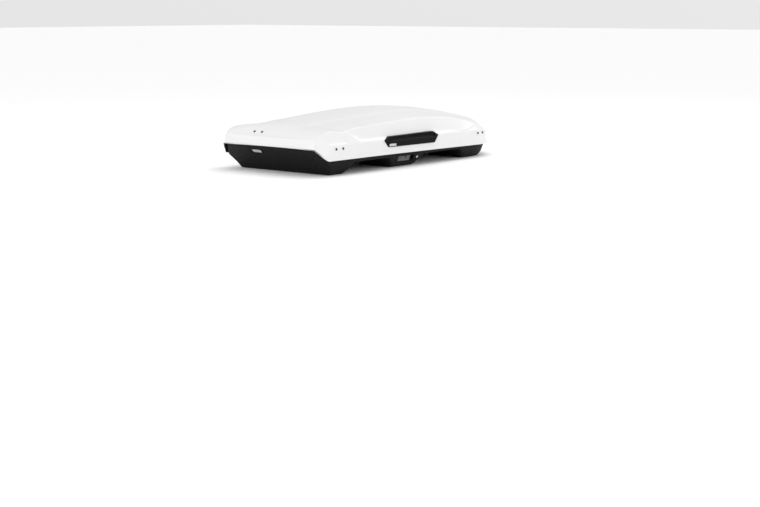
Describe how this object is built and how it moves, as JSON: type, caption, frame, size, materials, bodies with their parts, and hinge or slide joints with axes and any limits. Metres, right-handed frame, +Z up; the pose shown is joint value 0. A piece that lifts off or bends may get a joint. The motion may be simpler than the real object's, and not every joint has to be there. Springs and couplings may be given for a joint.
{
  "type": "roof cargo box",
  "caption": "Long low hard-shell box for a car roof, with a dual-side opening lid, sliding side locks and quick clamps for crossbars.",
  "frame": {"origin": "centre of the bounding box, at the height of the flat bellies that the box rests on", "axes": "+X to the nose, +Y to the left side, +Z up"},
  "size_m": [2.1, 0.9206, 0.3763],
  "materials": {
    "lid_plastic": "gloss white vacuum-formed plastic",
    "tray_plastic": "fine-grained satin black plastic",
    "trim_plastic": "fine-grained satin black plastic",
    "clamp_plastic": "glass-filled black plastic",
    "lever_plastic": "satin mid-grey plastic",
    "badge_plastic": "satin light grey plastic, plain",
    "rivet_plastic": "black plastic rivet heads",
    "steel": "zinc-plated sheet",
    "spring_steel": "drawn wire",
    "jaw_steel": "black powder coat",
    "key_metal": "satin chrome",
    "aluminium": "mill finish"
  },
  "bodies": {
    "base": {"base_tray": "tray_plastic", "rear_arm_bracket": "steel", "front_arm_bracket": "steel", "rear_lift_spring": "spring_steel", "front_lift_spring": "spring_steel", "left_lock_housing": "trim_plastic", "right_lock_housing": "trim_plastic", "left_rear_slide_rail": "steel", "left_front_slide_rail": "steel", "right_rear_slide_rail": "steel", "right_front_slide_rail": "steel", "rear_badge": "badge_plastic"},
    "swing_arms": {"rear_swing_arm": "steel", "front_swing_arm": "steel"},
    "lid": {"lid_shell": "lid_plastic", "left_rear_lid_stud": "steel", "left_middle_lid_stud": "steel", "left_front_lid_stud": "steel", "right_rear_lid_stud": "steel", "right_middle_lid_stud": "steel", "right_front_lid_stud": "steel", "left_handle": "trim_plastic", "right_handle": "trim_plastic", "left_handle_badge": "badge_plastic", "right_handle_badge": "badge_plastic", "rear_lid_stiffener": "aluminium", "front_lid_stiffener": "aluminium", "left_rear_rivets": "rivet_plastic", "right_rear_rivets": "rivet_plastic", "left_front_rivets": "rivet_plastic", "right_front_rivets": "rivet_plastic", "rear_rivets": "rivet_plastic"},
    "left_latch": {"left_latch_bar": "steel", "left_slide_lever": "lever_plastic"},
    "left_key": {"left_key_cylinder": "key_metal"},
    "right_latch": {"right_latch_bar": "steel", "right_slide_lever": "lever_plastic"},
    "right_key": {"right_key_cylinder": "key_metal"},
    "left_rear_clamp": {"left_rear_clamp_body": "clamp_plastic"},
    "left_rear_knob": {"left_rear_clamp_knob": "lever_plastic"},
    "left_rear_front_jaw_arm": {"left_rear_front_jaw": "jaw_steel"},
    "left_rear_rear_jaw_arm": {"left_rear_rear_jaw": "jaw_steel"},
    "left_front_clamp": {"left_front_clamp_body": "clamp_plastic"},
    "left_front_knob": {"left_front_clamp_knob": "lever_plastic"},
    "left_front_front_jaw_arm": {"left_front_front_jaw": "jaw_steel"},
    "left_front_rear_jaw_arm": {"left_front_rear_jaw": "jaw_steel"},
    "right_rear_clamp": {"right_rear_clamp_body": "clamp_plastic"},
    "right_rear_knob": {"right_rear_clamp_knob": "lever_plastic"},
    "right_rear_front_jaw_arm": {"right_rear_front_jaw": "jaw_steel"},
    "right_rear_rear_jaw_arm": {"right_rear_rear_jaw": "jaw_steel"},
    "right_front_clamp": {"right_front_clamp_body": "clamp_plastic"},
    "right_front_knob": {"right_front_clamp_knob": "lever_plastic"},
    "right_front_front_jaw_arm": {"right_front_front_jaw": "jaw_steel"},
    "right_front_rear_jaw_arm": {"right_front_rear_jaw": "jaw_steel"}
  },
  "joints": [
    {"name": "open_right_side", "type": "hinge", "parent": "base", "child": "swing_arms", "pos_m": [0, 0.42, 0.11], "axis": [-1, 0, 0], "range_deg": [0, 40]},
    {"name": "open_left_side", "type": "hinge", "parent": "swing_arms", "child": "lid", "pos_m": [0, -0.42, 0.11], "axis": [1, 0, 0], "range_deg": [0, 40]},
    {"name": "left_latch_slide", "type": "slide", "parent": "base", "child": "left_latch", "axis": [1, 0, 0], "range_m": [0, 0.028]},
    {"name": "left_key_turn", "type": "hinge", "parent": "base", "child": "left_key", "pos_m": [-0.023, 0.4, 0.055], "axis": [0, 1, 0], "range_deg": [0, 90]},
    {"name": "right_latch_slide", "type": "slide", "parent": "base", "child": "right_latch", "axis": [1, 0, 0], "range_m": [0, 0.028]},
    {"name": "right_key_turn", "type": "hinge", "parent": "base", "child": "right_key", "pos_m": [-0.023, -0.4, 0.055], "axis": [0, 1, 0], "range_deg": [0, 90]},
    {"name": "left_rear_clamp_slide", "type": "slide", "parent": "base", "child": "left_rear_clamp", "axis": [1, 0, 0], "range_m": [-0.07, 0.07]},
    {"name": "left_rear_knob_turn", "type": "hinge", "parent": "left_rear_clamp", "child": "left_rear_knob", "pos_m": [-0.49, 0.25, 0.112], "axis": [0, 0, 1], "range_deg": [0, 360]},
    {"name": "left_rear_front_jaw_swing", "type": "hinge", "parent": "left_rear_clamp", "child": "left_rear_front_jaw_arm", "pos_m": [-0.46, 0.25, 0.088], "axis": [0, -1, 0], "range_deg": [0, 32]},
    {"name": "left_rear_rear_jaw_swing", "type": "hinge", "parent": "left_rear_clamp", "child": "left_rear_rear_jaw_arm", "pos_m": [-0.52, 0.25, 0.088], "axis": [0, 1, 0], "range_deg": [0, 32]},
    {"name": "left_front_clamp_slide", "type": "slide", "parent": "base", "child": "left_front_clamp", "axis": [1, 0, 0], "range_m": [-0.07, 0.07]},
    {"name": "left_front_knob_turn", "type": "hinge", "parent": "left_front_clamp", "child": "left_front_knob", "pos_m": [0.26, 0.25, 0.112], "axis": [0, 0, 1], "range_deg": [0, 360]},
    {"name": "left_front_front_jaw_swing", "type": "hinge", "parent": "left_front_clamp", "child": "left_front_front_jaw_arm", "pos_m": [0.29, 0.25, 0.088], "axis": [0, -1, 0], "range_deg": [0, 32]},
    {"name": "left_front_rear_jaw_swing", "type": "hinge", "parent": "left_front_clamp", "child": "left_front_rear_jaw_arm", "pos_m": [0.23, 0.25, 0.088], "axis": [0, 1, 0], "range_deg": [0, 32]},
    {"name": "right_rear_clamp_slide", "type": "slide", "parent": "base", "child": "right_rear_clamp", "axis": [1, 0, 0], "range_m": [-0.07, 0.07]},
    {"name": "right_rear_knob_turn", "type": "hinge", "parent": "right_rear_clamp", "child": "right_rear_knob", "pos_m": [-0.49, -0.25, 0.112], "axis": [0, 0, 1], "range_deg": [0, 360]},
    {"name": "right_rear_front_jaw_swing", "type": "hinge", "parent": "right_rear_clamp", "child": "right_rear_front_jaw_arm", "pos_m": [-0.46, -0.25, 0.088], "axis": [0, -1, 0], "range_deg": [0, 32]},
    {"name": "right_rear_rear_jaw_swing", "type": "hinge", "parent": "right_rear_clamp", "child": "right_rear_rear_jaw_arm", "pos_m": [-0.52, -0.25, 0.088], "axis": [0, 1, 0], "range_deg": [0, 32]},
    {"name": "right_front_clamp_slide", "type": "slide", "parent": "base", "child": "right_front_clamp", "axis": [1, 0, 0], "range_m": [-0.07, 0.07]},
    {"name": "right_front_knob_turn", "type": "hinge", "parent": "right_front_clamp", "child": "right_front_knob", "pos_m": [0.26, -0.25, 0.112], "axis": [0, 0, 1], "range_deg": [0, 360]},
    {"name": "right_front_front_jaw_swing", "type": "hinge", "parent": "right_front_clamp", "child": "right_front_front_jaw_arm", "pos_m": [0.29, -0.25, 0.088], "axis": [0, -1, 0], "range_deg": [0, 32]},
    {"name": "right_front_rear_jaw_swing", "type": "hinge", "parent": "right_front_clamp", "child": "right_front_rear_jaw_arm", "pos_m": [0.23, -0.25, 0.088], "axis": [0, 1, 0], "range_deg": [0, 32]}
  ],
  "couplings": [
    {"joint": "left_rear_front_jaw_swing", "follows": "left_rear_knob_turn", "ratio": 0.0888},
    {"joint": "left_rear_rear_jaw_swing", "follows": "left_rear_knob_turn", "ratio": 0.0888},
    {"joint": "left_front_front_jaw_swing", "follows": "left_front_knob_turn", "ratio": 0.0888},
    {"joint": "left_front_rear_jaw_swing", "follows": "left_front_knob_turn", "ratio": 0.0888},
    {"joint": "right_rear_front_jaw_swing", "follows": "right_rear_knob_turn", "ratio": 0.0888},
    {"joint": "right_rear_rear_jaw_swing", "follows": "right_rear_knob_turn", "ratio": 0.0888},
    {"joint": "right_front_front_jaw_swing", "follows": "right_front_knob_turn", "ratio": 0.0888},
    {"joint": "right_front_rear_jaw_swing", "follows": "right_front_knob_turn", "ratio": 0.0888}
  ]
}
